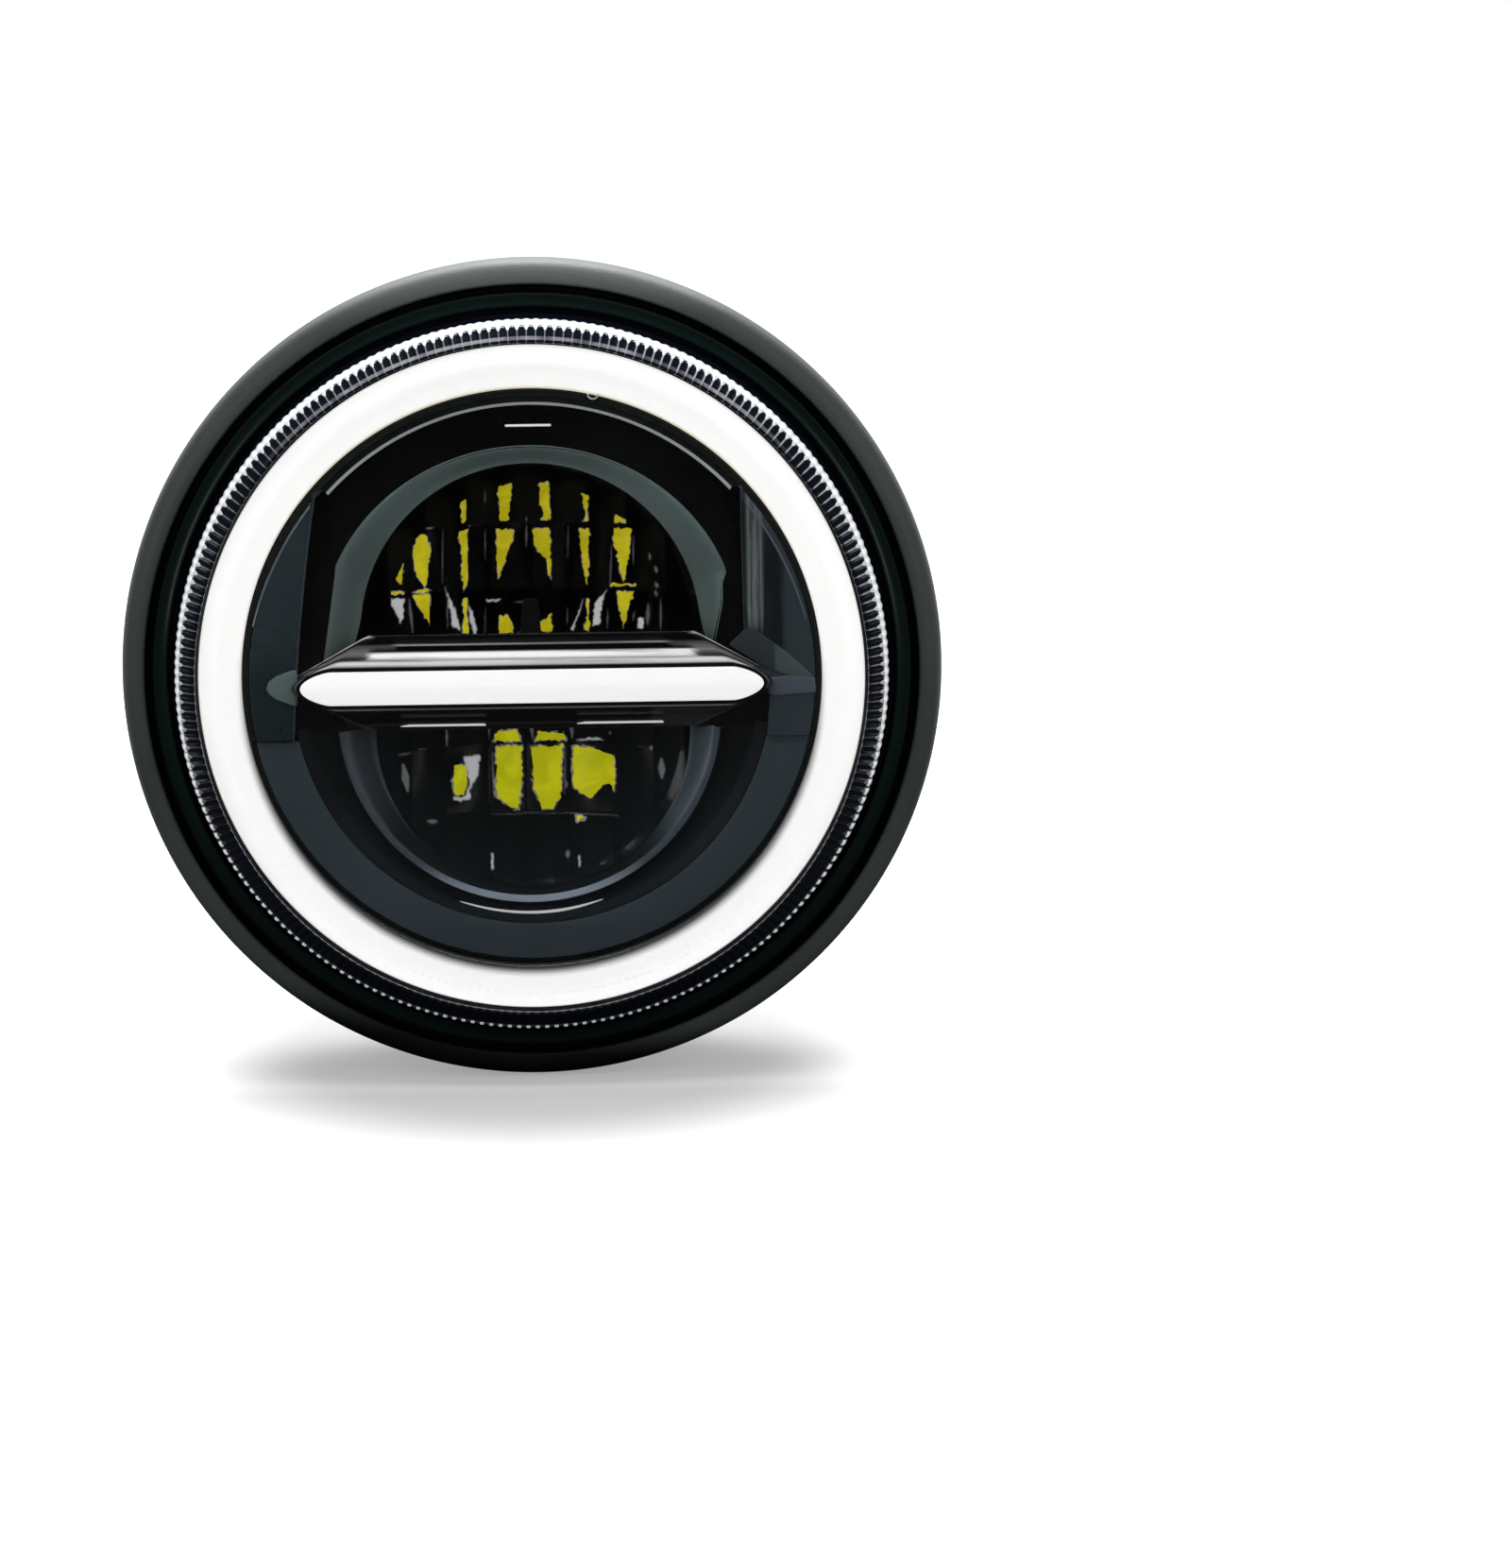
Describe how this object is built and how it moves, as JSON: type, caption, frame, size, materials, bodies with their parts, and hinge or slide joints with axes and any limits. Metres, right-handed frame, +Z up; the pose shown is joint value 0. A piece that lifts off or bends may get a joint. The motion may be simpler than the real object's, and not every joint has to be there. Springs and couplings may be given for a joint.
{
  "type": "round driving light",
  "caption": "Round vehicle driving light with a ring light, a bar light and half-round reflectors behind a clear lens, in a ball-shaped rear bucket with bolt holes at its sides.",
  "frame": {"origin": "centre of the light's box without its power lead: on the optical axis, half-way between the lens and the back of the bucket", "axes": "+Z up, -Y the way the light shines, +X to the right of someone who faces the lens"},
  "size_m": [0.196, 0.1785, 0.196],
  "materials": {
    "bucket_plastic": "satin",
    "steel_insert": "zinc plated",
    "brass_insert": "plain",
    "black_rubber": "matt",
    "black_paint": "satin black",
    "gloss_black": "gloss",
    "plated_steel": "zinc plated",
    "black_screw": "black oxide",
    "clear_lens": "clear",
    "seal_rubber": "matt",
    "cast_housing": "black coated casting",
    "cover_plastic": "satin",
    "vent_plastic": "satin",
    "white_diffuser": "milky",
    "circuit_board": "solder mask",
    "led": "plain",
    "bezel_plastic": "gloss",
    "bright_frame": "bright",
    "reflector": "bright",
    "bare_aluminium": "plain",
    "dark_plastic": "satin",
    "blade_brass": "nickel plated"
  },
  "bodies": {
    "bucket": {"bucket_shell": "bucket_plastic", "side_boss_left": "bucket_plastic", "side_boss_right": "bucket_plastic", "side_insert_left": "steel_insert", "side_insert_right": "steel_insert", "rim_insert_left": "brass_insert", "rim_insert_right": "brass_insert", "cable_grommet": "black_rubber", "cord_lead": "black_rubber", "cord_coil": "black_rubber", "cord_tail": "black_rubber", "plug_body": "cover_plastic", "plug_blades": "blade_brass"},
    "lamp": {"trim_ring": "black_paint", "surround_ring": "gloss_black", "rim_gasket": "black_rubber", "retaining_ring": "plated_steel", "ring_screws": "plated_steel", "rim_hook": "plated_steel", "lens": "clear_lens", "lens_seal": "seal_rubber", "lamp_housing": "cast_housing", "rear_cover": "cover_plastic", "cover_screws": "plated_steel", "breather_vent": "vent_plastic", "cable_gland": "black_rubber", "halo_diffuser": "white_diffuser", "halo_board": "circuit_board", "halo_leds": "led", "inner_bezel": "bezel_plastic", "bar_frame": "bright_frame", "bar_diffuser": "white_diffuser", "bar_board": "circuit_board", "bar_leds": "led", "upper_reflector": "reflector", "lower_reflector": "reflector", "heat_spreader": "bare_aluminium", "spreader_screws": "plated_steel", "upper_led_board": "circuit_board", "lower_led_board": "circuit_board", "upper_emitters": "led", "lower_emitters": "led", "glare_shield": "dark_plastic", "driver_board": "circuit_board", "driver_parts": "dark_plastic", "lamp_lead": "black_rubber"},
    "rim_screw_left": {"rim_screw_left": "black_screw"},
    "rim_screw_right": {"rim_screw_right": "black_screw"}
  },
  "joints": [
    {"name": "rim_swing", "type": "hinge", "parent": "bucket", "child": "lamp", "pos_m": [0, -0.01692, 0.09023], "axis": [-1, 0, 0], "range_deg": [0, 25]},
    {"name": "rim_screw_left_out", "type": "slide", "parent": "bucket", "child": "rim_screw_left", "axis": [-0.6947, 0, -0.7193], "range_m": [0, 0.008]},
    {"name": "rim_screw_right_out", "type": "slide", "parent": "bucket", "child": "rim_screw_right", "axis": [0.6947, 0, -0.7193], "range_m": [0, 0.008]}
  ]
}
